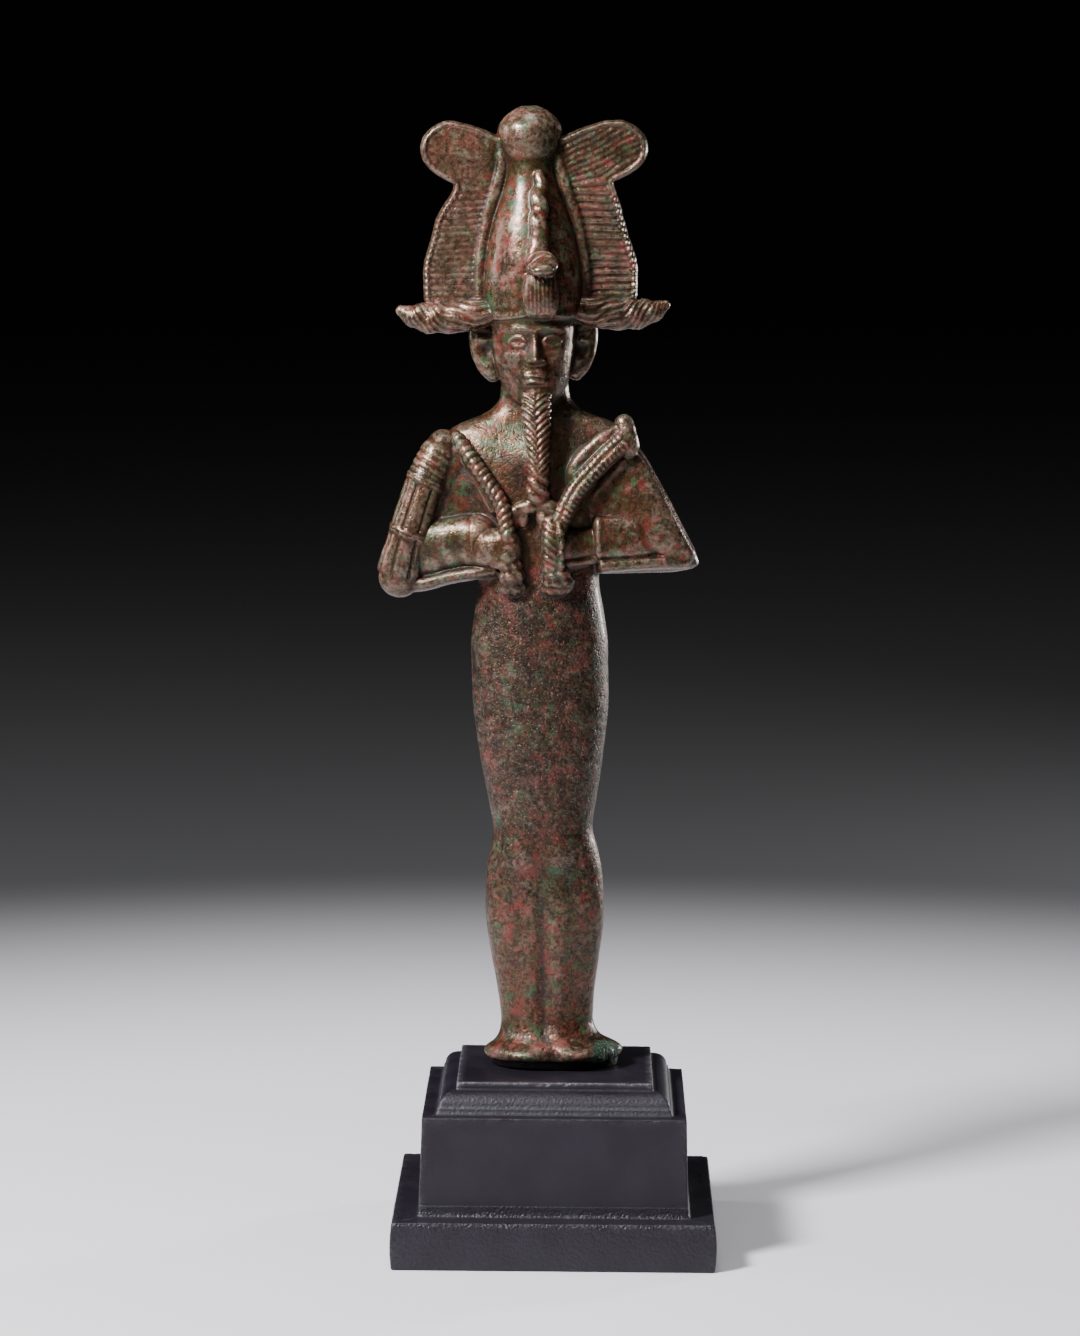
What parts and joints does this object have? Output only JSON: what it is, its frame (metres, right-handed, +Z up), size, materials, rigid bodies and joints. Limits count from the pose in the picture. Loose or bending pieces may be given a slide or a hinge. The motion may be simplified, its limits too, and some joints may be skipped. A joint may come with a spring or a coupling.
{
  "type": "small bronze osiris figure on plinth",
  "caption": "Small cast bronze standing figure of Osiris with tall plumed crown, crook and flail, shown on a stepped black wooden plinth.",
  "frame": {"origin": "middle of the plinth's underside", "axes": "+Z up, the figure looks along -Y, +X to the figure's left (the viewer's right)"},
  "size_m": [0.0709, 0.0666, 0.2359],
  "materials": {
    "bronze": "patinated",
    "black_paint": "satin black paint"
  },
  "bodies": {
    "root": {"osiris_figure": "bronze", "plinth": "black_paint"}
  },
  "joints": []
}
